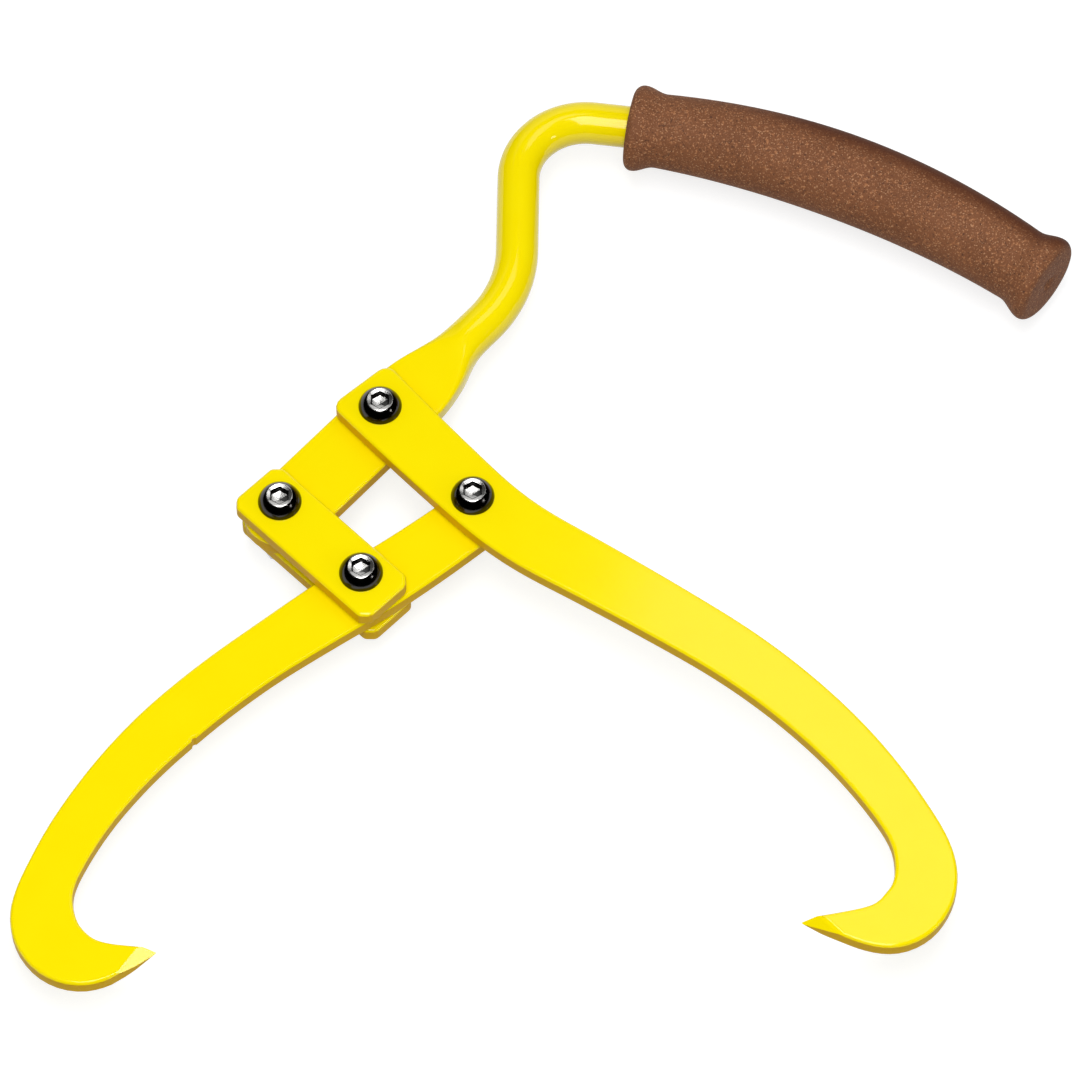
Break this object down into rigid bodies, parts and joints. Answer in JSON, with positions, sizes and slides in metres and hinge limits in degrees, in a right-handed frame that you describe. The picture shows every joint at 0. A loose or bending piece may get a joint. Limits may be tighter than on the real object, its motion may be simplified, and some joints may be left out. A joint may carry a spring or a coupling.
{
  "type": "log tongs",
  "caption": "Hand log tongs: crossed hooked jaws on a linkage of plates, with a bent round bar and a moulded carrying grip.",
  "frame": {"origin": "centre of the bottom face of the bounding box at rest, level with the ends of the long screws", "axes": "+Z square to the plates, out of the side with the screw heads; +Y from the hooks up to the bar; +X to the side that the grip points to"},
  "size_m": [0.3384, 0.33, 0.035],
  "materials": {
    "yellow_paint": "glossy yellow powder coat on steel plate",
    "grip_plastic": "satin brown moulded plastic with light orange specks",
    "black_steel": "polished black-plated steel, worn bright on the flat and in the socket",
    "zinc": "bright zinc plate",
    "nylon": "natural nylon"
  },
  "bodies": {
    "handle": {"handle_bar": "yellow_paint", "grip": "grip_plastic", "arm_pivot_screw": "black_steel", "arm_pivot_shim": "zinc", "arm_pivot_washer": "zinc", "arm_pivot_nut": "zinc", "arm_pivot_insert": "nylon"},
    "right_arm": {"right_arm": "yellow_paint", "jaw_pivot_screw": "black_steel", "jaw_pivot_shim": "zinc", "jaw_pivot_washer": "zinc", "jaw_pivot_nut": "zinc", "jaw_pivot_insert": "nylon"},
    "left_arm": {"left_arm": "yellow_paint"},
    "links": {"upper_link": "yellow_paint", "lower_link": "yellow_paint", "heel_pivot_screw": "black_steel", "heel_pivot_shims": "zinc", "heel_pivot_washer": "zinc", "heel_pivot_nut": "zinc", "heel_pivot_insert": "nylon", "toe_pivot_screw": "black_steel", "toe_pivot_shims": "zinc", "toe_pivot_washer": "zinc", "toe_pivot_nut": "zinc", "toe_pivot_insert": "nylon"}
  },
  "joints": [
    {"name": "arm_pivot_turn", "type": "hinge", "parent": "handle", "child": "right_arm", "pos_m": [-0.05683, 0.0378, 0.02], "axis": [0, 0, 1], "range_deg": [-35, 20]},
    {"name": "heel_pivot_turn", "type": "hinge", "parent": "handle", "child": "links", "pos_m": [-0.08843, 0.00234, 0.02], "axis": [0, 0, 1], "range_deg": [-43, 25]},
    {"name": "jaw_pivot_turn", "type": "hinge", "parent": "right_arm", "child": "left_arm", "pos_m": [-0.02684, 0.00425, 0.02], "axis": [0, 0, 1], "range_deg": [-21, 37]}
  ],
  "couplings": [
    {"joint": "heel_pivot_turn", "follows": "arm_pivot_turn", "ratio": 1.2025},
    {"joint": "jaw_pivot_turn", "follows": "arm_pivot_turn", "ratio": -1.037}
  ]
}
